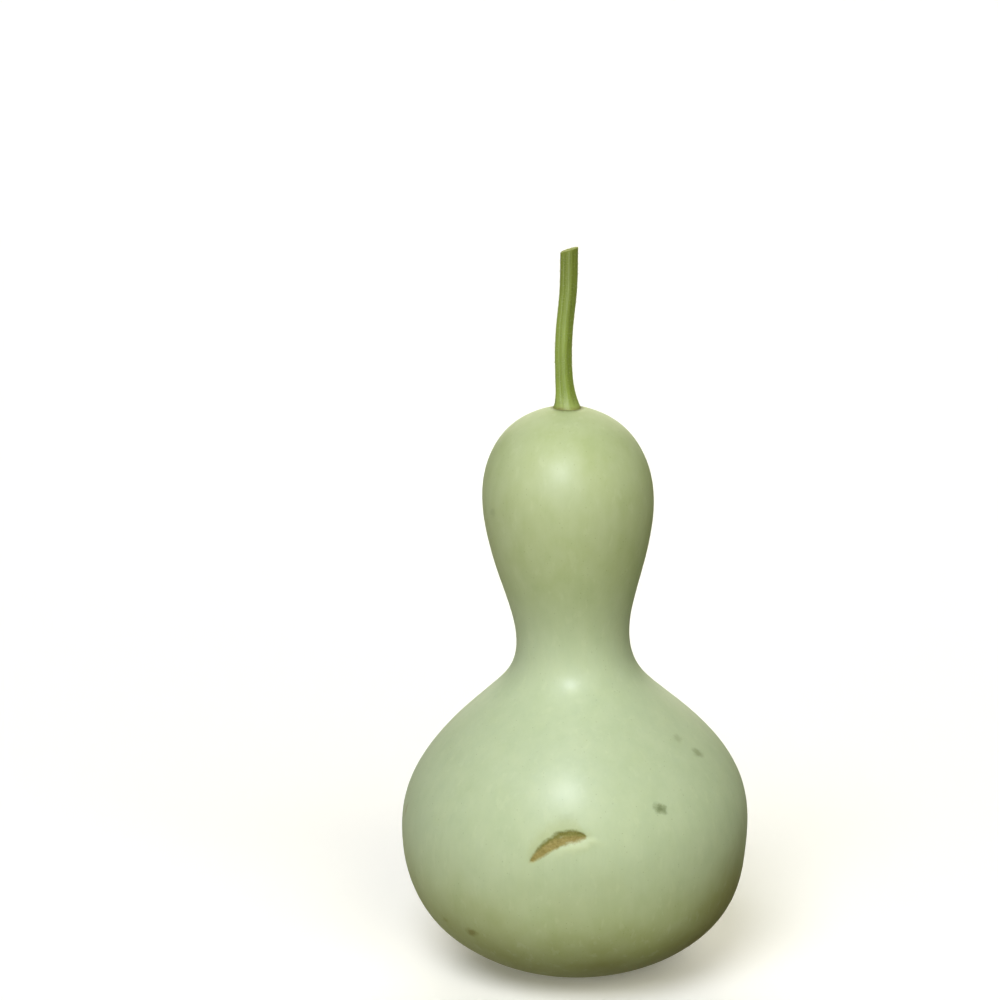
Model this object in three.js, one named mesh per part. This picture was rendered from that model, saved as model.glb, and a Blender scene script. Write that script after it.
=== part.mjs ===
// A bottle gourd standing on its blossom end: the waisted fruit and the stem it was cut with.
// Millimetres, +Z up. The origin is on the ground under the middle of the fruit, and the front faces -Y.
import * as THREE from "three";
import { NURBSCurve } from "three/addons/curves/NURBSCurve.js";

// Driving dimensions of the fruit.
const FRUIT_HEIGHT = 247;
const BELLY_RADIUS = 76;
const FRUIT_SIDES = 60;
const OUTLINE_STEPS = 45;

// The fruit's side view, from where it leaves the ground to where it meets the stem: control
// points of one smooth curve, each a share of the belly's radius and a share of the height.
const OUTLINE = [
  [0.263, 0],
  [0.438, 0],
  [0.908, 0.07],
  [1.009, 0.218],
  [0.992, 0.324],
  [0.779, 0.419],
  [0.487, 0.494],
  [0.334, 0.5365],
  [0.302, 0.612],
  [0.423, 0.7185],
  [0.502, 0.8255],
  [0.457, 0.9225],
  [0.284, 0.985],
  [0.083, 1],
];

// The middle line isn't straight: how far it wanders sideways and backwards, at even heights.
const WANDER_SIDEWAYS = [0, 2.7, -1.5, 3.2, -1.6, -3.2, -4, -3.8];
const WANDER_BACKWARDS = [0, 0, 0.6, -0.8, 1.2, 1.8, 0.8, 0.5];

// The fruit isn't quite round: low swellings run up its sides, as shares of the radius.
const SWELLINGS = [
  { count: 2, share: 0.0045, turn: 0.5 },
  { count: 3, share: 0.004, turn: 1.9 },
  { count: 5, share: 0.002, turn: 0.8 },
];

// Underneath: a flat ring that it stands on, and in a dimple inside the ring the blossom scar.
const FOOT_RING_INNER = 12;
const DIMPLE_DEPTH = 3;
const DIMPLE_FLOOR_RADIUS = 5.5;
const DIMPLE_STEPS = 5;
const BLOSSOM_SCAR_RADIUS = 4.2;
const BLOSSOM_SCAR_HEIGHT = 1;

// Driving dimensions of the stem.
const STEM_LENGTH = 67.2;
const STEM_RADIUS = 3.45;
const STEM_TIP_SWELL = 0.2;
const STEM_FOOT_RADIUS = 5.95;
const STEM_FLARE = 5;
const STEM_SIDES = 20;
const STEM_STEPS = 28;
const STEM_RIDGES = 5;
const RIDGE_SHARE = 0.055;

// The stem's middle line isn't straight either: how far it bends sideways and backwards from the
// spot where it grows out of the crown, at even heights.
const STEM_SIDEWAYS = [0, -1.1, -2.1, -1.9, 0.5, 0.3, 0.4];
const STEM_BACKWARDS = [0, 0.1, 0.2, 0.6, 1.1, 1.2, 1.2];

// The cut end slopes up to the right and is a little hollow.
const CUT_SLOPE = 0.31;
const CUT_HOLLOW = 0.6;
const CUT_REACH = 0.12;

// The stem's foot stands in a shallow seat in the crown, with a gap all round.
const SEAT_DEPTH = 2;
const GAP = 0.3;

const SKIN = new THREE.MeshStandardMaterial({ color: 0xb9c79b, roughness: 0.4, metalness: 0 });
const STEM_SKIN = new THREE.MeshStandardMaterial({ color: 0x86994c, roughness: 0.6, metalness: 0 });

const DEGREE = 3;

// A smooth curve that starts at its first control point and ends at its last.
function smoothCurve(points) {
  const inner = points.length - DEGREE - 1;
  const knots = [];
  for (let i = 0; i <= DEGREE; i++) {
    knots.push(0);
  }
  for (let i = 1; i <= inner; i++) {
    knots.push(i / (inner + 1));
  }
  for (let i = 0; i <= DEGREE; i++) {
    knots.push(1);
  }
  return new NURBSCurve(DEGREE, knots, points.map(([x, y]) => new THREE.Vector4(x, y, 0, 1)));
}

const fruitWander = smoothCurve(WANDER_SIDEWAYS.map((sideways, i) => [sideways, WANDER_BACKWARDS[i]]));
const stemWander = smoothCurve(STEM_SIDEWAYS.map((sideways, i) => [sideways, STEM_BACKWARDS[i]]));

// Where the fruit's middle line passes at a height.
function fruitMiddle(height) {
  return fruitWander.getPoint(THREE.MathUtils.clamp(height / FRUIT_HEIGHT, 0, 1));
}

// Where the stem's middle line passes at a height above the crown.
function stemMiddle(above) {
  const bend = stemWander.getPoint(THREE.MathUtils.clamp(above / STEM_LENGTH, 0, 1));
  return bend.add(fruitMiddle(FRUIT_HEIGHT));
}

// The half outline that is turned into the fruit: scar, dimple, foot ring, side, then the seat.
function fruitOutline() {
  const scarFace = DIMPLE_DEPTH - BLOSSOM_SCAR_HEIGHT;
  const outline = [
    new THREE.Vector2(0, scarFace),
    new THREE.Vector2(BLOSSOM_SCAR_RADIUS, scarFace),
  ];
  for (let i = 0; i <= DIMPLE_STEPS; i++) {
    const share = i / DIMPLE_STEPS;
    const radius = THREE.MathUtils.lerp(DIMPLE_FLOOR_RADIUS, FOOT_RING_INNER, share);
    outline.push(new THREE.Vector2(radius, (DIMPLE_DEPTH * (1 + Math.cos(Math.PI * share))) / 2));
  }
  const points = OUTLINE.map(([radius, height]) => [radius * BELLY_RADIUS, height * FRUIT_HEIGHT]);
  for (const point of smoothCurve(points).getPoints(OUTLINE_STEPS)) {
    outline.push(new THREE.Vector2(point.x, point.y));
  }
  outline.push(new THREE.Vector2(outline.at(-1).x, FRUIT_HEIGHT - SEAT_DEPTH));
  outline.push(new THREE.Vector2(0, FRUIT_HEIGHT - SEAT_DEPTH));
  return outline;
}

// How much the fruit swells at an angle. The swellings fade out at the foot and at the crown.
function swelling(angle, height) {
  const fade = Math.sin(Math.PI * THREE.MathUtils.clamp(height / FRUIT_HEIGHT, 0, 1));
  let share = 0;
  for (const ridge of SWELLINGS) {
    share += ridge.share * Math.cos(ridge.count * angle + ridge.turn);
  }
  return 1 + share * fade;
}

function makeFruit() {
  const geometry = new THREE.LatheGeometry(fruitOutline(), FRUIT_SIDES);
  geometry.rotateX(Math.PI / 2);
  const place = geometry.getAttribute("position");
  for (let i = 0; i < place.count; i++) {
    const x = place.getX(i);
    const y = place.getY(i);
    const z = place.getZ(i);
    const grown = swelling(Math.atan2(y, x), z);
    const middle = fruitMiddle(z);
    place.setXYZ(i, middle.x + x * grown, middle.y + y * grown, z);
  }
  geometry.computeVertexNormals();
  const fruit = new THREE.Mesh(geometry, SKIN);
  fruit.name = "fruit";
  return fruit;
}

// The stem's radius: a foot that flares out into the crown, and a slight swelling at the tip.
function stemRadius(above) {
  const flare = (STEM_FOOT_RADIUS - STEM_RADIUS) * Math.exp(-Math.max(above, 0) / STEM_FLARE);
  const swell = STEM_TIP_SWELL * THREE.MathUtils.clamp(above / STEM_LENGTH, 0, 1);
  return STEM_RADIUS + flare + swell;
}

function makeStem() {
  const geometry = new THREE.CylinderGeometry(1, 1, 1, STEM_SIDES, STEM_STEPS);
  geometry.rotateX(Math.PI / 2);
  const place = geometry.getAttribute("position");
  for (let i = 0; i < place.count; i++) {
    const x = place.getX(i);
    const y = place.getY(i);
    const along = THREE.MathUtils.clamp(place.getZ(i) + 0.5, 0, 1);
    const above = THREE.MathUtils.lerp(GAP - SEAT_DEPTH, STEM_LENGTH, along);
    const ridgeFade = THREE.MathUtils.smoothstep(above, 0, STEM_FLARE);
    const ridges = 1 + RIDGE_SHARE * ridgeFade * Math.cos(STEM_RIDGES * Math.atan2(y, x));
    const radius = stemRadius(above) * ridges;
    const cut = THREE.MathUtils.smoothstep(along, 1 - CUT_REACH, 1);
    const isMiddle = Math.hypot(x, y) < 0.5;
    const lift = cut * (isMiddle ? -CUT_HOLLOW : CUT_SLOPE * x * radius);
    const middle = stemMiddle(above);
    place.setXYZ(i, middle.x + x * radius, middle.y + y * radius, FRUIT_HEIGHT + above + lift);
  }
  geometry.computeVertexNormals();
  const stem = new THREE.Mesh(geometry, STEM_SKIN);
  stem.name = "stem";
  return stem;
}

const gourd = new THREE.Group();
gourd.add(makeFruit(), makeStem());

// The gourd is set so that the origin is under the middle of its width and depth.
const centre = new THREE.Box3().setFromObject(gourd).getCenter(new THREE.Vector3());
for (const piece of gourd.children) {
  piece.position.set(-centre.x, -centre.y, 0);
}

export default gourd;
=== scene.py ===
"""A waisted bottle gourd as picked, standing on its blossom end.

The rind is one fine skin with its corky scar, blossom scar and uneven growth in the mesh. The stem has
its ridges, its cut end and a down of fine hairs. Metres, +Z up, the front faces -Y, the same frame as
the solids.
"""
import math
import random
from bisect import bisect_right

import bmesh
import bpy
from mathutils import Matrix, Vector, noise


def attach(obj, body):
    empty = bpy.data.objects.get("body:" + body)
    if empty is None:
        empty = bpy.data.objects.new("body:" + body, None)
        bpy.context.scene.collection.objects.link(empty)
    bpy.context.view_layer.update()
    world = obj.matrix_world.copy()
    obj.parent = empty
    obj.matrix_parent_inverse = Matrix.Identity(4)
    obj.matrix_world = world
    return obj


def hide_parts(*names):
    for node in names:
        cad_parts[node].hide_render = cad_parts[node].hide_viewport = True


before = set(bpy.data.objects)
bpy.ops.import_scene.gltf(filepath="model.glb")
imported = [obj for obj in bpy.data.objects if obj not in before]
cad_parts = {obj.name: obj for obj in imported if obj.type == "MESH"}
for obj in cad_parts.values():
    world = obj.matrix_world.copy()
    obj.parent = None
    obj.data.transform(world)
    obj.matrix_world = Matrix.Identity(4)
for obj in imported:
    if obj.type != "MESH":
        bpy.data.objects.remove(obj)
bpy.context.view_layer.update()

MM = 0.001
MERGE_DISTANCE = 0.0001 * MM

# Driving dimensions of the fruit, as in the solids.
FRUIT_HEIGHT = 247 * MM
BELLY_RADIUS = 76 * MM

# Control points of the fruit's side view, as shares of the belly's radius and of the height.
OUTLINE = [
    (0.263, 0), (0.438, 0), (0.908, 0.07), (1.009, 0.218), (0.992, 0.324), (0.779, 0.419), (0.487, 0.494),
    (0.334, 0.5365), (0.302, 0.612), (0.423, 0.7185), (0.502, 0.8255), (0.457, 0.9225), (0.284, 0.985),
    (0.083, 1),
]

# How far the fruit's middle line wanders, in millimetres sideways and backwards, at even heights.
WANDER = [(0, 0), (2.7, 0), (-1.5, 0.6), (3.2, -0.8), (-1.6, 1.2), (-3.2, 1.8), (-4, 0.8), (-3.8, 0.5)]

# Low swellings run up the fruit's sides: how many, their share of the radius, and their turn.
SWELLINGS = [(2, 0.0045, 0.5), (3, 0.004, 1.9), (5, 0.002, 0.8)]

FOOT_RING_INNER = 12 * MM
DIMPLE_DEPTH = 3 * MM
DIMPLE_FLOOR_RADIUS = 5.5 * MM
BLOSSOM_SCAR_RADIUS = 4.2 * MM
BLOSSOM_SCAR_HEIGHT = 1 * MM

# Driving dimensions of the stem, as in the solids.
STEM_LENGTH = 67.2 * MM
STEM_RADIUS = 3.45 * MM
STEM_TIP_SWELL = 0.2 * MM
STEM_FOOT_RADIUS = 5.95 * MM
STEM_FLARE = 5 * MM
STEM_RIDGES = 5
RIDGE_SHARE = 0.055
STEM_WANDER = [(0, 0), (-1.1, 0.1), (-2.1, 0.2), (-1.9, 0.6), (0.5, 1.1), (0.3, 1.2), (0.4, 1.2)]
CUT_SLOPE = 0.31
CUT_HOLLOW = 0.6 * MM
CUT_REACH = 0.12

# The photograph's view: a point on the fruit's middle line, and the pixel where it shows.
IMAGE_SIZE = 1000
CAMERA_ELEVATION = math.radians(17)
CAMERA_DISTANCE = 1.15
FOCAL_PIXELS = 2637
SENSOR_MM = 36
AIM_HEIGHT = 127 * MM
AIM_PIXEL = (577.7, 678.2)


def linear(hex_colour):
    """An sRGB hex colour as the linear colour that a shader's socket takes."""
    channels = []
    for start in (1, 3, 5):
        value = int(hex_colour[start:start + 2], 16) / 255
        channels.append(value / 12.92 if value <= 0.04045 else ((value + 0.055) / 1.055) ** 2.4)
    return (*channels, 1)


def smooth_step(value, low, high):
    share = min(1, max(0, (value - low) / (high - low)))
    return share * share * (3 - 2 * share)


def smooth_curve(points, share):
    """A point on the clamped cubic curve of these control points, at a share of its way."""
    spans = len(points) - 3
    knots = [0] * 4 + [i / spans for i in range(1, spans)] + [1] * 4
    share = min(max(share, 0), 1)
    span = min(int(share * spans), spans - 1) + 3
    near = [Vector(point) for point in points[span - 3:span + 1]]
    for level in range(1, 4):
        for i in range(3, level - 1, -1):
            low = knots[span - 3 + i]
            high = knots[span + 1 + i - level]
            near[i] = near[i - 1].lerp(near[i], (share - low) / (high - low))
    return near[3]


def turned(rows, steps):
    """A half outline, given as pairs of radius and height, turned once round into a closed skin."""
    shape = bmesh.new()
    verts = [shape.verts.new((radius, 0, height)) for radius, height in rows]
    for low, high in zip(verts, verts[1:]):
        shape.edges.new((low, high))
    bmesh.ops.spin(
        shape, geom=shape.verts[:] + shape.edges[:], cent=(0, 0, 0), axis=(0, 0, 1), dvec=(0, 0, 0),
        angle=2 * math.pi, steps=steps, use_merge=True,
    )
    bmesh.ops.remove_doubles(shape, verts=shape.verts, dist=MERGE_DISTANCE)
    bmesh.ops.recalc_face_normals(shape, faces=shape.faces)
    return shape


def finished_object(name, shape):
    """Turns a bmesh into a smooth-shaded object at the origin."""
    mesh = bpy.data.meshes.new(name)
    shape.to_mesh(mesh)
    shape.free()
    mesh.shade_smooth()
    piece = bpy.data.objects.new(name, mesh)
    bpy.context.scene.collection.objects.link(piece)
    return piece


def add_node(tree, kind, inputs=None, **settings):
    """Adds a node with its settings. An input is a value, or the socket that is linked to it."""
    node = tree.nodes.new(kind)
    for name, value in settings.items():
        setattr(node, name, value)
    for key, value in (inputs or {}).items():
        if isinstance(value, bpy.types.NodeSocket):
            tree.links.new(value, node.inputs[key])
        else:
            node.inputs[key].default_value = value
    return node


# The rind

SIDE_STEPS = 170
AROUND_STEPS = 256
DIMPLE_STEPS = 10
TABLE_STEPS = 2000
BLOSSOM_SCAR_HOLLOW = 0.1 * MM
BLOSSOM_SCAR_RIM = 0.25 * MM
CROWN_SINK = 0.8 * MM
CROWN_CREASE = 0.7 * MM
CROWN_ROUNDING = 0.25 * MM
FOOT_FADE = 14 * MM
CROWN_FADE = 3 * MM

# Slow hollows and swellings of a grown skin: how wide they are, how deep, and where their noise starts.
UNEVENNESS = [
    (46 * MM, 0.5 * MM, Vector((0, 0, 0))),
    (17 * MM, 0.09 * MM, Vector((3, 1, 7))),
    (6 * MM, 0.015 * MM, Vector((8, 2, 5))),
]


def outline_table():
    """Radius and height along the fruit's side, close enough together to read between."""
    points = [(radius * BELLY_RADIUS, height * FRUIT_HEIGHT) for radius, height in OUTLINE]
    rows = [smooth_curve(points, i / TABLE_STEPS) for i in range(TABLE_STEPS + 1)]
    return [row.x for row in rows], [row.y for row in rows]


TABLE_RADII, TABLE_HEIGHTS = outline_table()


def side_radius(height):
    """The fruit's radius at a height on its side."""
    i = min(max(bisect_right(TABLE_HEIGHTS, height), 1), len(TABLE_HEIGHTS) - 1)
    low, high = TABLE_HEIGHTS[i - 1], TABLE_HEIGHTS[i]
    share = (height - low) / (high - low) if high > low else 0
    return TABLE_RADII[i - 1] + (TABLE_RADII[i] - TABLE_RADII[i - 1]) * min(max(share, 0), 1)


def fruit_middle(height):
    """Where the fruit's middle line passes at a height."""
    return smooth_curve(WANDER, height / FRUIT_HEIGHT) * MM


def swelling(angle, height):
    fade = math.sin(math.pi * min(max(height / FRUIT_HEIGHT, 0), 1))
    return 1 + fade * sum(share * math.cos(count * angle + turn) for count, share, turn in SWELLINGS)


def skin_point(angle, height):
    """A point on the fruit's side, before its fine relief."""
    radius = side_radius(height) * swelling(angle, height)
    middle = fruit_middle(height)
    return Vector((middle.x + radius * math.cos(angle), middle.y + radius * math.sin(angle), height))


def skin_frame(angle, height):
    """A point on the side with the directions across the face, up the face, and out of it."""
    turn = math.radians(0.6)
    step = 0.5 * MM
    across = (skin_point(angle + turn, height) - skin_point(angle - turn, height)).normalized()
    up = (skin_point(angle, height + step) - skin_point(angle, height - step)).normalized()
    return skin_point(angle, height), across, up, across.cross(up).normalized()


# The corky scar on the belly's front: an arched groove, its left end lower, with a raised lower lip.
SCAR_ANGLE = math.radians(-96.4)
SCAR_HEIGHT = 77.2 * MM
SCAR_TILT = math.radians(29)
SCAR_HALF_LENGTH = 13.2 * MM
SCAR_HALF_WIDTH = 2.9 * MM
SCAR_ARCH = 3 * MM
SCAR_SKEW = 1 * MM
SCAR_WIDENING = 0.2
SCAR_DEPTH = 0.8 * MM
SCAR_LIP = 0.38 * MM

# A point past the reach from the scar's middle isn't worked out, and counts as far outside its edge.
SCAR_REACH = 1.8 * SCAR_HALF_LENGTH
SCAR_FAR = 8 * MM

# The teeth of the scar's ragged edge, coarse and fine: how wide they are and how deep.
SCAR_TEETH = [(2.4 * MM, 0.7 * MM), (0.9 * MM, 0.25 * MM)]

# The lumps of its cork, fine and coarse, and their share of its depth.
CORK_LUMPS = [1.3 * MM, 3.1 * MM]
CORK_LUMP_SHARE = 0.3

# The stretch of skin round the scar that is cut finer.
FINE_HALF_LENGTH = 1.35 * SCAR_HALF_LENGTH
FINE_HALF_WIDTH = 9 * MM
FINE_CUTS = 4


def scar_place(point):
    """A point's share of the way along the scar, its height over the arched middle line, and how far it
    lies inside the ragged edge."""
    offset = point - SCAR_POINT
    if offset.length > SCAR_REACH:
        return 0, 0, -SCAR_FAR
    share = offset.dot(SCAR_ALONG) / SCAR_HALF_LENGTH
    middle = SCAR_ARCH * (0.5 - share * share) + SCAR_SKEW * share * (1 - share * share)
    over = offset.dot(SCAR_ACROSS) - middle
    width = SCAR_HALF_WIDTH * max(0, 1 - abs(share) ** 3) ** 0.5 * (1 + SCAR_WIDENING * share)
    ragged = sum(depth * noise.noise(point / tooth) for tooth, depth in SCAR_TEETH)
    beyond = max(0, abs(share) - 1) * SCAR_HALF_LENGTH
    return share, over, width - math.hypot(over, beyond) + ragged * smooth_step(width, 0, SCAR_HALF_WIDTH)


def scar_lip(share, over, inside):
    """How much of the raised lip is here: 1 along the lower edge, most of it on the right."""
    rim = math.exp(-((inside + 2 * MM) / (2 * MM)) ** 2)
    return rim * smooth_step(-over, -1 * MM, 2.5 * MM) * smooth_step(share, -0.7, 0.6)


def scar_relief(point, inside, lip):
    """How far the skin stands out at the scar: sunk and rough inside it, raised along its lower edge."""
    if inside <= -SCAR_FAR:
        return 0
    cork = CORK_LUMP_SHARE * sum(noise.noise(point / lump) for lump in CORK_LUMPS)
    sunk = smooth_step(inside, -0.5 * MM, 1.5 * MM)
    return SCAR_DEPTH * sunk * (cork - 0.75) + SCAR_LIP * lip


def uneven_growth(point):
    """How far the skin's slow hollows and swellings lift it here."""
    return sum(depth * noise.noise(point / width + start) for width, depth, start in UNEVENNESS)


def underside_outline():
    """Half outline of the underside, from the blossom scar over the dimple to the foot ring."""
    face = DIMPLE_DEPTH - BLOSSOM_SCAR_HEIGHT
    rows = [
        (0, face),
        (0.5 * BLOSSOM_SCAR_RADIUS, face - BLOSSOM_SCAR_HOLLOW),
        (0.85 * BLOSSOM_SCAR_RADIUS, face),
        (BLOSSOM_SCAR_RADIUS, face + BLOSSOM_SCAR_RIM),
    ]
    for i in range(DIMPLE_STEPS + 1):
        share = i / DIMPLE_STEPS
        radius = DIMPLE_FLOOR_RADIUS + (FOOT_RING_INNER - DIMPLE_FLOOR_RADIUS) * share
        rows.append((radius, DIMPLE_DEPTH * (1 + math.cos(math.pi * share)) / 2))
    rows.append((0.6 * FOOT_RING_INNER + 0.4 * TABLE_RADII[0], 0))
    return rows


def crown_outline():
    """Half outline of the crown where the stem grows out: the skin turns down into a crease."""
    edge = TABLE_RADII[-1]
    sunk = FRUIT_HEIGHT - CROWN_SINK
    return [
        (edge - 0.5 * CROWN_CREASE, FRUIT_HEIGHT - CROWN_ROUNDING),
        (edge - CROWN_CREASE, sunk),
        (0.6 * edge, sunk),
        (0, sunk),
    ]


def fruit_outline():
    """The fruit's whole half outline: underside, side and crown."""
    rows = underside_outline()
    for i in range(SIDE_STEPS + 1):
        k = round(i / SIDE_STEPS * TABLE_STEPS)
        rows.append((TABLE_RADII[k], TABLE_HEIGHTS[k]))
    return rows + crown_outline()


def cut_finer_near_scar(shape):
    """Cuts the faces round the corky scar finer, so that its relief has points to stand on, and sets the
    new points on the round side."""
    edges = set()
    for face in shape.faces:
        offset = face.calc_center_median() - SCAR_POINT
        on_this_side = offset.length < 1.5 * FINE_HALF_LENGTH
        along = abs(offset.dot(SCAR_ALONG))
        across = abs(offset.dot(SCAR_ACROSS))
        if on_this_side and along < FINE_HALF_LENGTH and across < FINE_HALF_WIDTH:
            edges.update(face.edges)
    bmesh.ops.subdivide_edges(shape, edges=list(edges), cuts=FINE_CUTS, use_grid_fill=True)
    bmesh.ops.recalc_face_normals(shape, faces=shape.faces)
    for vert in shape.verts:
        if (vert.co - SCAR_POINT).length < 2.2 * FINE_HALF_LENGTH:
            vert.co.xy = vert.co.xy.normalized() * side_radius(vert.co.z)


def grow_skin(shape):
    """Moves the turned points on to the grown form: swellings, wander, slow unevenness and the scar."""
    for vert in shape.verts:
        height = vert.co.z
        vert.co.xy *= swelling(math.atan2(vert.co.y, vert.co.x), height)
        vert.co.xy += fruit_middle(height)
    shape.normal_update()
    inside_layer = shape.verts.layers.float.new("scar_inside")
    upper_layer = shape.verts.layers.float.new("scar_upper")
    lip_layer = shape.verts.layers.float.new("scar_lip")
    relief = []
    for vert in shape.verts:
        free = smooth_step(vert.co.z, 0, FOOT_FADE) * smooth_step(FRUIT_HEIGHT - vert.co.z, 0, CROWN_FADE)
        share, over, inside = scar_place(vert.co)
        vert[inside_layer] = inside / MM
        vert[upper_layer] = over / MM + 0.9 * share
        vert[lip_layer] = scar_lip(share, over, inside)
        relief.append(uneven_growth(vert.co) * free + scar_relief(vert.co, inside, vert[lip_layer]))
    for vert, height in zip(shape.verts, relief):
        vert.co += vert.normal * height


def way_to_origin(shape):
    """How far the fruit has to move so that the origin is under the middle of its width and depth."""
    xs = [vert.co.x for vert in shape.verts]
    ys = [vert.co.y for vert in shape.verts]
    return Vector((-(min(xs) + max(xs)) / 2, -(min(ys) + max(ys)) / 2, 0))


SCAR_POINT, scar_right, scar_up, _ = skin_frame(SCAR_ANGLE, SCAR_HEIGHT)
SCAR_ALONG = scar_right * math.cos(SCAR_TILT) + scar_up * math.sin(SCAR_TILT)
SCAR_ACROSS = scar_up * math.cos(SCAR_TILT) - scar_right * math.sin(SCAR_TILT)

rind_shape = turned(fruit_outline(), AROUND_STEPS)
cut_finer_near_scar(rind_shape)
grow_skin(rind_shape)
SHIFT = way_to_origin(rind_shape)
bmesh.ops.translate(rind_shape, verts=rind_shape.verts, vec=SHIFT)
rind = finished_object("rind", rind_shape)
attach(rind, "root")
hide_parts("fruit")


# The stem

STEM_AROUND = 80
STEM_STEPS = 150
STEM_SUNK = 1.2 * MM
RIDGE_TURN = 0.25

# Fine strings between the ridges: how many to a ridge, their share of the radius, and their turn.
STRINGS = [(3, 0.012, 1.1), (5, 0.008, 2.3)]

# The cut face: rings of points inwards from its rim, as shares of the radius, the height of the rim's
# rounding, and the ring of ten strings: its place as a share of the radius, and its height.
CUT_RINGS = [0.985, 0.96, 0.92, 0.86, 0.8, 0.72, 0.64, 0.55, 0.45, 0.34, 0.22, 0.1, 0]
CUT_ROUNDING = 0.25 * MM
CUT_STRING_COUNT = 10
CUT_STRING_RING = 0.72
CUT_STRING_HEIGHT = 0.12 * MM

# Stored on the points that aren't on the cut face, in place of their share of the radius.
OFF_CUT_FACE = 2


def stem_middle(above):
    """Where the stem's middle line passes at a height above the crown."""
    bend = smooth_curve(STEM_WANDER, above / STEM_LENGTH) * MM
    root = fruit_middle(FRUIT_HEIGHT)
    return Vector((root.x + bend.x, root.y + bend.y, FRUIT_HEIGHT + above)) + SHIFT


def ridge_angle(angle, above):
    """The angle counted from a ridge: the ridges turn a little as they climb."""
    return angle + RIDGE_TURN * above / STEM_LENGTH


def stem_radius(angle, above):
    """The stem's radius: its flared foot, its ridges, fine strings between them and a slight twist."""
    flare = (STEM_FOOT_RADIUS - STEM_RADIUS) * math.exp(-max(above, 0) / STEM_FLARE)
    swell = STEM_TIP_SWELL * min(max(above / STEM_LENGTH, 0), 1)
    fade = smooth_step(above, 0, STEM_FLARE)
    twist = ridge_angle(angle, above)
    ridges = RIDGE_SHARE * fade * math.cos(STEM_RIDGES * twist)
    strings = sum(share * math.cos(count * STEM_RIDGES * twist + turn) for count, share, turn in STRINGS)
    return (STEM_RADIUS + flare + swell) * (1 + ridges + strings * (0.4 + 0.6 * fade))


def stem_point(angle, share_out, above):
    """A point of the stem at a share of the way from its middle line to its skin."""
    middle = stem_middle(above)
    radius = stem_radius(angle, above) * share_out
    x = radius * math.cos(angle)
    y = radius * math.sin(angle)
    cut = smooth_step(above, STEM_LENGTH * (1 - CUT_REACH), STEM_LENGTH)
    return Vector((middle.x + x, middle.y + y, middle.z + cut * CUT_SLOPE * x))


def cut_face_height(share_out, angle):
    """How far the cut face sinks below its rim: a ring of strings stands proud, the pith is sunk."""
    pith = CUT_HOLLOW * (1 - smooth_step(share_out, 0.1, 0.75))
    rim = CUT_ROUNDING * smooth_step(share_out, 0.86, 1)
    ring = CUT_STRING_HEIGHT * math.exp(-((share_out - CUT_STRING_RING) / 0.1) ** 2)
    return -pith - rim + ring * (1 + math.cos(CUT_STRING_COUNT * angle))


def make_stem():
    """The stem: rings up its side, then rings inwards over its cut face."""
    rows = [(0, -STEM_SUNK)]
    for i in range(STEM_STEPS + 1):
        rows.append((1, -STEM_SUNK + (STEM_LENGTH + STEM_SUNK) * i / STEM_STEPS))
    for share in CUT_RINGS:
        rows.append((share, STEM_LENGTH + (1 - share) * MM))
    shape = turned(rows, STEM_AROUND)
    ridge_layer = shape.verts.layers.float.new("ridge")
    cut_layer = shape.verts.layers.float.new("cut_out")
    for vert in shape.verts:
        share = math.hypot(vert.co.x, vert.co.y)
        angle = math.atan2(vert.co.y, vert.co.x)
        above = vert.co.z
        vert[ridge_layer] = math.cos(STEM_RIDGES * ridge_angle(angle, above))
        on_cut_face = above > STEM_LENGTH
        vert[cut_layer] = share if on_cut_face else OFF_CUT_FACE
        vert.co = stem_point(angle, share, min(above, STEM_LENGTH))
        if on_cut_face:
            vert.co.z += cut_face_height(share, angle)
    return finished_object("stem_skin", shape)


stem = make_stem()
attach(stem, "root")
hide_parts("stem")


# The down on the stem

HAIR_COUNT = 1100
HAIR_ZONE = (0.03, 0.97)
HAIR_ROOT = 0.99
HAIR_LENGTH = (0.45 * MM, 1.05 * MM)
HAIR_RADIUS = 0.055 * MM
HAIR_RISE = (-0.1, 0.7)
HAIR_STRAY = 0.3


def make_down():
    """Short fine hairs that stand out of the stem, each a thin three-sided spike that leans upwards."""
    draw = random.Random(7)
    shape = bmesh.new()
    for _ in range(HAIR_COUNT):
        angle = draw.uniform(0, 2 * math.pi)
        above = STEM_LENGTH * draw.uniform(*HAIR_ZONE)
        root = stem_point(angle, HAIR_ROOT, above)
        out = Vector((math.cos(angle), math.sin(angle), draw.uniform(*HAIR_RISE)))
        out.x += draw.uniform(-HAIR_STRAY, HAIR_STRAY)
        out.y += draw.uniform(-HAIR_STRAY, HAIR_STRAY)
        length = draw.uniform(*HAIR_LENGTH)
        hair = bmesh.ops.create_cone(
            shape, cap_ends=True, cap_tris=False, segments=3, radius1=HAIR_RADIUS,
            radius2=0.1 * HAIR_RADIUS, depth=length,
        )["verts"]
        turn = out.to_track_quat("Z", "Y")
        bmesh.ops.translate(shape, verts=hair, vec=(0, 0, length / 2))
        bmesh.ops.rotate(shape, verts=hair, cent=(0, 0, 0), matrix=turn.to_matrix())
        bmesh.ops.translate(shape, verts=hair, vec=root)
    return finished_object("stem_down", shape)


down = make_down()
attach(down, "root")


# The materials


def new_material(name):
    """A new material, its node tree and its shader."""
    material = bpy.data.materials.new(name)
    material.use_nodes = True
    return material, material.node_tree, material.node_tree.nodes["Principled BSDF"]


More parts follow.
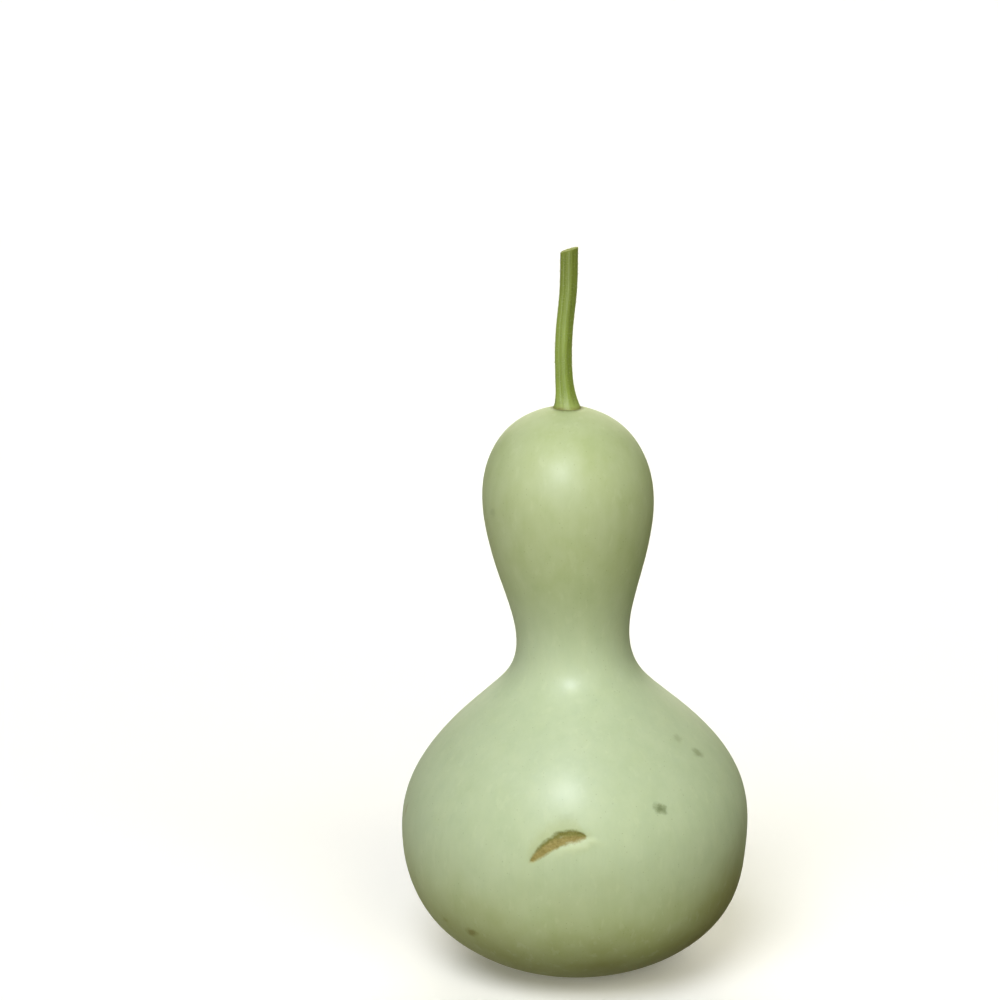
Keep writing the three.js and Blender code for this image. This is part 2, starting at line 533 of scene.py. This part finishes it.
def blots(tree, place, size, detail=2, squeeze=1.0):
    """Uneven blots from 0 to 1, this wide in metres. A squeeze under 1 draws them out up the gourd."""
    drawn_out = add_node(tree, "ShaderNodeMapping", {"Vector": place, "Scale": (1, 1, squeeze)}).outputs[0]
    pattern = add_node(
        tree, "ShaderNodeTexNoise",
        {"Vector": drawn_out, "Scale": 1 / size, "Detail": detail, "Roughness": 0.55},
    ).outputs["Fac"]
    return add_node(
        tree, "ShaderNodeMapRange", {"Value": pattern, "From Min": 0.3, "From Max": 0.7},
    ).outputs[0]


def tinted(tree, under, colour, share, strength=1.0, fade=None):
    """The colour below, turned towards another by a share times a strength. With a fade, the share is read
    from a value instead: softly from none at the fade's first number to all at its second."""
    if isinstance(colour, str):
        colour = linear(colour)
    none_at, all_at = fade or (0, 1)
    amount = add_node(
        tree, "ShaderNodeMapRange",
        {"Value": share, "From Min": none_at, "From Max": all_at, "To Max": strength},
        interpolation_type="SMOOTHSTEP" if fade else "LINEAR",
    ).outputs[0]
    return add_node(
        tree, "ShaderNodeMix", {0: amount, 6: under, 7: colour}, data_type="RGBA",
    ).outputs[2]


def uneven_distance(tree, place, point, pattern, amount):
    """How far the place is from a point, with a pattern added so that an edge drawn from it is uneven."""
    away = add_node(
        tree, "ShaderNodeVectorMath", {0: place, 1: point}, operation="DISTANCE",
    ).outputs["Value"]
    return add_node(
        tree, "ShaderNodeMath", {0: pattern, 1: amount, 2: away}, operation="MULTIPLY_ADD",
    ).outputs[0]


def specks(tree, place, size, kept):
    """Separate round marks of this size, in a share of a pattern's cells: 1 in a mark's middle."""
    cells = add_node(tree, "ShaderNodeTexVoronoi", {"Vector": place, "Scale": 1 / (2.2 * size)})
    draw = add_node(tree, "ShaderNodeSeparateColor", {0: cells.outputs["Color"]}).outputs[0]
    strength = add_node(
        tree, "ShaderNodeMapRange", {"Value": draw, "From Min": 1 - kept, "From Max": 1 - 0.4 * kept},
    ).outputs[0]
    return add_node(
        tree, "ShaderNodeMapRange",
        {"Value": cells.outputs["Distance"], "From Min": 0.3, "From Max": 0.1, "To Max": strength},
    ).outputs[0]


def from_blemish_and_shade(tree, place, angle, height, half_width, half_height, tilt):
    """How far the place is from the middle of a mark on the skin, in the mark's own half widths."""
    point, across, up, out = skin_frame(math.radians(angle), height * MM)
    turn = Matrix((across, up, out)).transposed() @ Matrix.Rotation(math.radians(tilt), 3, "Z")
    local = add_node(
        tree, "ShaderNodeMapping",
        {
            "Vector": place, "Location": point + SHIFT, "Rotation": turn.to_euler(),
            "Scale": (half_width * MM, half_height * MM, BLEMISH_AND_SHADE_DEPTH),
        },
        vector_type="TEXTURE",
    ).outputs[0]
    return uneven_distance(tree, local, (0, 0, 0), blots(tree, place, 2.2 * MM, 3), 0.5)


# How deep under the skin a mark reaches, and the soft fade at its edge, counted in its half widths.
BLEMISH_AND_SHADE_DEPTH = 8 * MM
BLEMISH_AND_SHADE_FADE = (1.45, 0.45)

# Marks on the skin, as angle round the fruit, height, half width and half height in millimetres, tilt,
# strength and colour. The first five are the photograph's, and the rest are of the same kinds.
BLEMISHES_AND_SHADE = [
    (-59.6, 89.0, 4.0, 2.5, -28, 0.9, "#74825b"),
    (-28.4, 103.0, 3.9, 2.6, -30, 0.6, "#7f8b62"),
    (-34, 109.8, 2.8, 2.6, 0, 0.42, "#8f9a72"),
    # Painted shade: the grey green smudge above the corky scar.
    (-93, 87.8, 5.5, 3, 10, 0.2, "#97a47c"),
    (-128.8, 31.1, 4.0, 2.5, 15, 0.8, "#7b7a3f"),
    (-141.8, 32, 2.8, 1.7, 25, 0.4, "#808148"),
    (24, 61, 1.4, 5.5, 35, 0.5, "#8a7b45"),
    (31, 57, 0.9, 2.4, 10, 0.5, "#86743e"),
    (63, 208, 1.6, 2.6, 20, 0.5, "#7a7444"),
    (104, 84, 4.5, 2.6, -20, 0.4, "#84906a"),
    (141, 46, 2.2, 3.8, -35, 0.45, "#8a7b48"),
    (172, 119, 2.6, 1.6, 12, 0.4, "#7f8d66"),
    (-168, 72, 1.2, 4.2, -14, 0.42, "#94864f"),
    (-150, 205, 3.2, 2, 30, 0.3, "#8b9870"),
]

# The middle of the olive brown patch of painted shade low on the right.
SHADE_PATCH_ANGLE = math.radians(-20)
SHADE_PATCH_HEIGHT = 28 * MM

# The heights where the wax's bloom fades out, at the foot and under the upper bulb: none, then full.
BLOOM_FADES = [(22 * MM, 74 * MM), (188 * MM, 142 * MM)]


def wax_bloom(tree, height):
    """The pale bloom of the wax: full on the shoulder and the belly, none at the foot and the bulb."""
    bloom = 1.0
    for none_at, full_at in BLOOM_FADES:
        bloom = add_node(
            tree, "ShaderNodeMapRange",
            {"Value": height, "From Min": none_at, "From Max": full_at, "To Max": bloom},
            interpolation_type="SMOOTHSTEP",
        ).outputs[0]
    return bloom


def skin_colours(tree, place, height, wax, bloom):
    """The skin without its corky scar."""
    # Slow clouds of deeper and paler green under the bloom, then faint streaks from crown to foot.
    clouds = blots(tree, place, 42 * MM, 3)
    skin = tinted(tree, linear("#abbc86"), "#b4c392", clouds)
    skin = tinted(tree, skin, "#b4c6aa", bloom, 0.8)
    skin = tinted(tree, skin, "#c6d3ae", blots(tree, place, 5 * MM, 4, 0.1), 0.17)
    skin = tinted(tree, skin, "#9fb07a", blots(tree, place, 1.4 * MM, 3, 0.07), 0.08)
    skin = tinted(tree, skin, "#cdd9b8", blots(tree, place, 6.5 * MM, 3, 0.6), 0.22)

    # Yellower and darker towards the foot, partly painted shade; olive brown painted shade low on the right.
    uneven_height = add_node(
        tree, "ShaderNodeMath", {0: clouds, 1: -22 * MM, 2: height}, operation="MULTIPLY_ADD",
    ).outputs[0]
    skin = tinted(tree, skin, "#8b914b", uneven_height, 0.85, (54 * MM, -12 * MM))
    skin = tinted(tree, skin, "#7c7a3c", uneven_height, 0.6, (16 * MM, -22 * MM))
    shade_patch_point = skin_point(SHADE_PATCH_ANGLE, SHADE_PATCH_HEIGHT) + SHIFT
    from_shade_patch = uneven_distance(tree, place, shade_patch_point, clouds, -12 * MM)
    skin = tinted(tree, skin, "#79762c", from_shade_patch, 0.75, (40 * MM, 2 * MM))

    # Greener round the stem, with a brown collar at its foot.
    from_stem = add_node(
        tree, "ShaderNodeVectorMath", {0: place, 1: stem_middle(0)}, operation="DISTANCE",
    ).outputs["Value"]
    skin = tinted(tree, skin, "#a3b271", from_stem, 0.35, (19 * MM, 5 * MM))
    collar = uneven_distance(tree, place, stem_middle(0), blots(tree, place, 1.2 * MM, 3), -1.1 * MM)
    skin = tinted(tree, skin, "#7c7c45", collar, 0.8, (7.2 * MM, 5.9 * MM))

    # Pale flecks 2 to 6 mm long, patches of thicker wax, and dark specks under half a millimetre.
    skin = tinted(tree, skin, "#d0dbbc", blots(tree, place, 3.4 * MM, 2, 0.4), 0.14, (0.72, 1))
    skin = tinted(tree, skin, "#cbd8c0", wax, 0.16)
    skin = tinted(tree, skin, "#6f7d4a", specks(tree, place, 0.45 * MM, 0.07), 0.42)

    # Smudges where the wax is rubbed thin, as on the belly's right, and small brown spots low on the left.
    for angle, up, half_width, half_height, tilt, strength, colour in BLEMISHES_AND_SHADE:
        # One of them, grey green above the corky scar, is painted shade.
        away = from_blemish_and_shade(tree, place, angle, up, half_width, half_height, tilt)
        skin = tinted(tree, skin, colour, away, strength, BLEMISH_AND_SHADE_FADE)

    # The blossom scar underneath: dry brown cork.
    from_blossom = add_node(
        tree, "ShaderNodeVectorMath", {0: place, 1: (SHIFT.x, SHIFT.y, 0)}, operation="DISTANCE",
    ).outputs["Value"]
    return tinted(tree, skin, "#8b7448", from_blossom, 0.9, (6.4 * MM, 5 * MM))


def scar_colours(tree, place, skin, grain, inside):
    """The corky scar: tan cork, its upper edge olive cork and painted shade, a painted highlight on its lip.
    """
    upper = add_node(tree, "ShaderNodeAttribute", attribute_name="scar_upper").outputs["Fac"]
    lip = add_node(tree, "ShaderNodeAttribute", attribute_name="scar_lip").outputs["Fac"]
    # The pale tint along the lip is a painted highlight.
    skin = tinted(tree, skin, "#d2dfbb", lip, 0.5)
    near = add_node(
        tree, "ShaderNodeMath", {0: upper, 1: 0.45, 2: inside}, operation="MULTIPLY_ADD",
    ).outputs[0]
    skin = tinted(tree, skin, "#a0a866", near, 0.3, (-2.4, 1.2))
    patches = blots(tree, place, 2.6 * MM, 3)
    cork = tinted(tree, linear("#a89c62"), "#8e8448", patches)
    cork = tinted(tree, cork, "#857a45", grain, 0.35)
    fissures = blots(tree, place, 0.7 * MM, 3, 2.2)
    cork = tinted(tree, cork, "#6f6336", fissures, 0.4, (0.62, 0.9))
    # The olive upper edge is partly the cork's colour, partly painted shade under the groove's wall.
    uneven_upper = add_node(
        tree, "ShaderNodeMath", {0: patches, 1: 1.3, 2: upper}, operation="MULTIPLY_ADD",
    ).outputs[0]
    return skin, tinted(tree, cork, "#76793a", uneven_upper, 0.85, (0.3, 2.6))


def rind_material():
    """Waxy rind of a young bottle gourd: thin green skin with a pale bloom of wax, half gloss and smooth."""
    material, tree, shader = new_material("waxy_gourd_rind")
    place = add_node(tree, "ShaderNodeTexCoord").outputs["Object"]
    height = add_node(tree, "ShaderNodeSeparateXYZ", {0: place}).outputs["Z"]

    # The wax lies in patches, and its pale bloom over them.
    wax = blots(tree, place, 14 * MM, 5)
    bloom = wax_bloom(tree, height)
    skin = skin_colours(tree, place, height, wax, bloom)

    # The corky scar, its edge roughened by its grain.
    grain = blots(tree, place, 0.9 * MM, 4)
    smooth_inside = add_node(tree, "ShaderNodeAttribute", attribute_name="scar_inside").outputs["Fac"]
    inside = add_node(
        tree, "ShaderNodeMath", {0: grain, 1: 0.6, 2: smooth_inside}, operation="MULTIPLY_ADD",
    ).outputs[0]
    in_cork = add_node(
        tree, "ShaderNodeMapRange", {"Value": inside, "From Min": -0.4, "From Max": 1.5},
        interpolation_type="SMOOTHSTEP",
    ).outputs[0]
    skin, cork = scar_colours(tree, place, skin, grain, inside)
    tree.links.new(tinted(tree, skin, cork, in_cork), shader.inputs["Base Color"])

    # The skin is a little duller where the wax is thick, and cork is dull.
    dull = add_node(tree, "ShaderNodeMapRange", {"Value": wax, "To Min": 0.47, "To Max": 0.54}).outputs[0]
    dull = add_node(tree, "ShaderNodeMix", {0: in_cork, 2: dull, 3: 0.8}, data_type="FLOAT").outputs[0]
    tree.links.new(dull, shader.inputs["Roughness"])
    shader.inputs["IOR"].default_value = 1.46
    coat = add_node(tree, "ShaderNodeMapRange", {"Value": bloom, "To Min": 0.015, "To Max": 0.1}).outputs[0]
    tree.links.new(coat, shader.inputs["Coat Weight"])
    shader.inputs["Coat Roughness"].default_value = 0.27
    shader.inputs["Subsurface Weight"].default_value = 0.08
    shader.inputs["Subsurface Radius"].default_value = (1.0, 0.9, 0.4)
    shader.inputs["Subsurface Scale"].default_value = 3 * MM

    # Fine leathery unevenness, with rough cork at the scar.
    cork_grain = add_node(tree, "ShaderNodeMath", {0: grain, 1: in_cork}, operation="MULTIPLY").outputs[0]
    bump = add_node(
        tree, "ShaderNodeBump",
        {"Height": blots(tree, place, 2.4 * MM, 3), "Strength": 0.12, "Distance": 0.12 * MM},
    ).outputs[0]
    bump = add_node(
        tree, "ShaderNodeBump",
        {"Height": cork_grain, "Strength": 0.6, "Distance": 0.35 * MM, "Normal": bump},
    ).outputs[0]
    tree.links.new(bump, shader.inputs["Normal"])
    return material


def stem_material():
    """Fresh green gourd stem: stringy, softly ridged and hardly shiny, its cut face pale and moist."""
    material, tree, shader = new_material("fresh_gourd_stem")
    place = add_node(tree, "ShaderNodeTexCoord").outputs["Object"]
    height = add_node(tree, "ShaderNodeSeparateXYZ", {0: place}).outputs["Z"]
    above = add_node(tree, "ShaderNodeMath", {0: height, 1: FRUIT_HEIGHT}, operation="SUBTRACT").outputs[0]

    # Deeper green in the valleys, paler on the ridges, with fine strings along the stem.
    ridge = add_node(tree, "ShaderNodeAttribute", attribute_name="ridge").outputs["Fac"]
    strings = blots(tree, place, 0.55 * MM, 4, 0.035)
    blotches = blots(tree, place, 5 * MM, 3, 0.4)
    skin = tinted(tree, linear("#8a9f44"), "#93a94e", ridge, fade=(-0.9, 0.9))
    skin = tinted(tree, skin, "#9aac58", strings, 0.3)
    skin = tinted(tree, skin, "#74863a", blotches, 0.35)

    # Olive towards the cut, pale at the foot, and rusty in blotches where it leaves the fruit.
    skin = tinted(tree, skin, "#727d2e", above, 0.65, (0.45 * STEM_LENGTH, STEM_LENGTH))
    skin = tinted(tree, skin, "#a3b26f", above, 0.5, (9 * MM, 0))
    rusty = tinted(tree, skin, "#7a6a38", above, 0.75, (1.3 * MM, 0.2 * MM))
    skin = tinted(tree, skin, rusty, blotches)

    # The cut face: pale flesh with a ring of darker strings and a browned rim.
    out = add_node(tree, "ShaderNodeAttribute", attribute_name="cut_out").outputs["Fac"]
    flesh = tinted(tree, linear("#adb173"), "#9ba75c", out, fade=(0.25, 0.7))
    flesh = tinted(tree, flesh, "#6f6a36", out, 0.8, (0.82, 0.98))
    flesh = tinted(tree, flesh, "#8c8a50", blots(tree, place, 0.6 * MM, 3), 0.4)
    tree.links.new(tinted(tree, skin, flesh, out, fade=(1.01, 0.99)), shader.inputs["Base Color"])
    shader.inputs["Roughness"].default_value = 0.52
    shader.inputs["IOR"].default_value = 1.42
    shader.inputs["Subsurface Weight"].default_value = 0.1
    shader.inputs["Subsurface Radius"].default_value = (0.8, 1.0, 0.3)
    shader.inputs["Subsurface Scale"].default_value = 1.5 * MM
    bump = add_node(
        tree, "ShaderNodeBump", {"Height": strings, "Strength": 0.5, "Distance": 0.12 * MM},
    ).outputs[0]
    tree.links.new(bump, shader.inputs["Normal"])
    return material


def down_material():
    """Plant down: short clear hairs, paler than the stem where light comes through them."""
    material, tree, shader = new_material("pale_plant_down")
    place = add_node(tree, "ShaderNodeTexCoord").outputs["Object"]
    hair = tinted(tree, linear("#a9b774"), "#c6cf9f", blots(tree, place, 3 * MM))
    tree.links.new(hair, shader.inputs["Base Color"])
    shader.inputs["Roughness"].default_value = 0.5
    shader.inputs["Transmission Weight"].default_value = 0.25
    return material


rind.data.materials.append(rind_material())
stem.data.materials.append(stem_material())
down.data.materials.append(down_material())


# The studio

# Wide soft windows: name, azimuth from the front towards the right, elevation and spread in degrees,
# strength and colour. Only the one named below shows in the gloss, along the gourd's edges.
WINDOWS = [
    ("front_window", -20, 53, 34, 1.82, "#fafcff"),
    ("left_window", -38, 12, 40, 0.84, "#fffae6"),
    ("right_window", 31, 33, 42, 1.42, "#fffbdd"),
    ("back_window", 180, 24, 60, 1.3, "#fff8de"),
    ("back_fill", 180, 14, 34, 1.3, "#fffdf4"),
]
WINDOW_IN_GLOSS = "back_window"

# The floor glows faintly, so that it stays white under warm light.
FLOOR_GLOW = 0.09
FLOOR_HALF_WIDTH = 12
BACKDROP_RADIUS = 11
BACKDROP_HEIGHT = 12

# The light of the air all round, and how far from the middle it goes over from one side's to the other's.
LIGHT_FROM_ABOVE = 0.03
LIGHT_FROM_BELOW_LEFT = 0.34
LIGHT_FROM_BELOW_RIGHT = 0.12
LEFT_TO_RIGHT = 0.45
BELOW_TO_ABOVE = 0.15

# The small lamp near by that makes the highlights.
GLOSS_LAMP_PLACE = Vector((-42, -223, 331)) * MM
GLOSS_LAMP_SIZE = 0.07
GLOSS_LAMP_POWER = 0.86
GLOSS_LAMP_COLOUR = "#ebf0ff"


def light_direction(azimuth, elevation):
    """Towards a light. Its azimuth is counted in degrees from the front towards the right."""
    azimuth, elevation = math.radians(azimuth), math.radians(elevation)
    level = math.cos(elevation)
    return Vector((math.sin(azimuth) * level, -math.cos(azimuth) * level, math.sin(elevation)))


def add_lamp(name, light, direction, target=Vector((0, 0, 0)), distance=1):
    """A lamp that shines on the target from this direction, and that the camera doesn't see."""
    lamp = bpy.data.objects.new(name, light)
    lamp.location = target + direction * distance
    lamp.rotation_euler = (-direction).to_track_quat("-Z", "Y").to_euler()
    lamp.visible_camera = False
    bpy.context.scene.collection.objects.link(lamp)
    return lamp


def light_studio():
    """Windows far away, so that the floor is lit evenly, and one small lamp for the gloss."""
    for name, azimuth, elevation, spread, strength, colour in WINDOWS:
        light = bpy.data.lights.new(name, "SUN")
        light.color = linear(colour)[:3]
        light.angle = math.radians(spread)
        light.energy = strength
        lamp = add_lamp(name, light, light_direction(azimuth, elevation))
        lamp.visible_glossy = name == WINDOW_IN_GLOSS
    light = bpy.data.lights.new("gloss_lamp", "AREA")
    light.size = GLOSS_LAMP_SIZE
    light.energy = GLOSS_LAMP_POWER
    light.color = linear(GLOSS_LAMP_COLOUR)[:3]
    target = Vector((0, 0, 0.6 * FRUIT_HEIGHT))
    away = GLOSS_LAMP_PLACE - target
    lamp = add_lamp("gloss_lamp", light, away.normalized(), target, away.length)
    lamp.visible_diffuse = False


def make_floor():
    """A plain pale floor that runs past the view. It casts no light back up on to the gourd."""
    shape = bmesh.new()
    bmesh.ops.create_grid(shape, x_segments=1, y_segments=1, size=FLOOR_HALF_WIDTH)
    floor = finished_object("floor", shape)
    material, _, shader = new_material("matte_white_paper")
    shader.inputs["Base Color"].default_value = linear("#fdfdff")
    shader.inputs["Roughness"].default_value = 0.9
    shader.inputs["Emission Color"].default_value = linear("#ffffff")
    shader.inputs["Emission Strength"].default_value = FLOOR_GLOW
    floor.data.materials.append(material)
    floor.visible_diffuse = False
    floor.visible_glossy = False


def make_backdrop():
    """A pale ring far behind the floor, evenly lit paper, so that low views end in the floor's own tone."""
    shape = bmesh.new()
    bmesh.ops.create_cone(
        shape, cap_ends=False, segments=96, radius1=BACKDROP_RADIUS, radius2=BACKDROP_RADIUS,
        depth=BACKDROP_HEIGHT,
    )
    backdrop = finished_object("backdrop", shape)
    material, _, shader = new_material("lit_white_paper")
    shader.inputs["Base Color"].default_value = linear("#000000")
    shader.inputs["Roughness"].default_value = 1
    shader.inputs["Specular IOR Level"].default_value = 0
    shader.inputs["Emission Color"].default_value = linear("#fefefd")
    shader.inputs["Emission Strength"].default_value = 1
    backdrop.data.materials.append(material)
    backdrop.visible_diffuse = False
    backdrop.visible_glossy = False
    backdrop.visible_shadow = False


def make_camera():
    """The photograph's view: the aim point falls on its pixel, with no roll."""
    aim = Vector((SHIFT.x, SHIFT.y, AIM_HEIGHT))
    away = Vector((0, -math.cos(CAMERA_ELEVATION), math.sin(CAMERA_ELEVATION)))
    camera_data = bpy.data.cameras.new("camera")
    camera_data.sensor_width = SENSOR_MM
    camera_data.lens = FOCAL_PIXELS * SENSOR_MM / IMAGE_SIZE
    camera = bpy.data.objects.new("camera", camera_data)
    camera.location = aim + away * CAMERA_DISTANCE
    right = math.atan2(AIM_PIXEL[0] - IMAGE_SIZE / 2, FOCAL_PIXELS)
    down_angle = math.atan2(AIM_PIXEL[1] - IMAGE_SIZE / 2, FOCAL_PIXELS)
    pitch = -CAMERA_ELEVATION + down_angle
    look = Vector((-math.sin(right) * math.cos(pitch), math.cos(right) * math.cos(pitch), math.sin(pitch)))
    camera.rotation_euler = look.to_track_quat("-Z", "Y").to_euler()
    bpy.context.scene.collection.objects.link(camera)
    bpy.context.scene.camera = camera


def make_world():
    """Dim light from above and stronger light from below, as over a pale table, most of it from the left."""
    world = bpy.data.worlds.new("studio_air")
    world.use_nodes = True
    tree = world.node_tree
    direction = add_node(tree, "ShaderNodeTexCoord").outputs["Generated"]
    across, _, height = add_node(tree, "ShaderNodeSeparateXYZ", {0: direction}).outputs
    from_below = add_node(
        tree, "ShaderNodeMapRange",
        {
            "Value": across, "From Min": -LEFT_TO_RIGHT, "From Max": LEFT_TO_RIGHT,
            "To Min": LIGHT_FROM_BELOW_LEFT, "To Max": LIGHT_FROM_BELOW_RIGHT,
        },
    ).outputs[0]
    strength = add_node(
        tree, "ShaderNodeMapRange",
        {
            "Value": height, "From Min": -BELOW_TO_ABOVE, "From Max": BELOW_TO_ABOVE,
            "To Min": from_below, "To Max": LIGHT_FROM_ABOVE,
        },
    ).outputs[0]
    tree.links.new(strength, tree.nodes["Background"].inputs["Strength"])
    tree.nodes["Background"].inputs["Color"].default_value = linear("#fff8d6")
    bpy.context.scene.world = world


make_floor()
make_backdrop()
make_camera()
make_world()
light_studio()
bpy.context.scene.view_settings.view_transform = "Standard"
